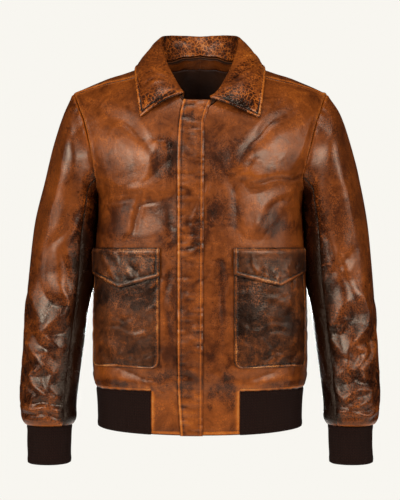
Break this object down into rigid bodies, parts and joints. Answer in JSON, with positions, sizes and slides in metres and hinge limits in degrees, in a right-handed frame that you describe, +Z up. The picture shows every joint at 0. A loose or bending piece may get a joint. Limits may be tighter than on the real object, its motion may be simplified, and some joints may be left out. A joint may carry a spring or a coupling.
{
  "type": "leather flight jacket",
  "caption": "Waist-length worn leather jacket, zipped shut and filled out, with storm flap, flapped patch pockets, folded collar and rib-knit hem and cuffs.",
  "frame": {"origin": "on the middle plane, halfway between the two points where the shoulders meet the neck, which is where a wearer holds the jacket up", "axes": "+Z up, front of the jacket towards -Y, the wearer's left towards +X"},
  "size_m": [0.6275, 0.2554, 0.7637],
  "materials": {
    "leather": "worn semi-gloss cowhide with creases and pale rubbed edges",
    "collar_leather": "darker crackled cowhide with pale rubbed edges",
    "pocket_leather": "darker mottled cowhide with rubbed piping",
    "rib_knit": "very dark brown rib knit",
    "lining": "dark brown woven lining",
    "zip": "tarnished chain on a brown tape"
  },
  "bodies": {
    "root": {"front_left": "leather", "front_right": "leather", "back": "leather", "storm_flap": "leather", "sleeve_top_left": "leather", "sleeve_top_right": "leather", "sleeve_under_left": "leather", "sleeve_under_right": "leather", "upper_collar": "collar_leather", "under_collar": "collar_leather", "pocket_left": "pocket_leather", "pocket_right": "pocket_leather", "pocket_flap_left": "pocket_leather", "pocket_flap_right": "pocket_leather", "waist_rib": "rib_knit", "cuff_left": "rib_knit", "cuff_right": "rib_knit", "neck_facing": "lining", "back_lining": "lining", "zip": "zip"}
  },
  "joints": []
}
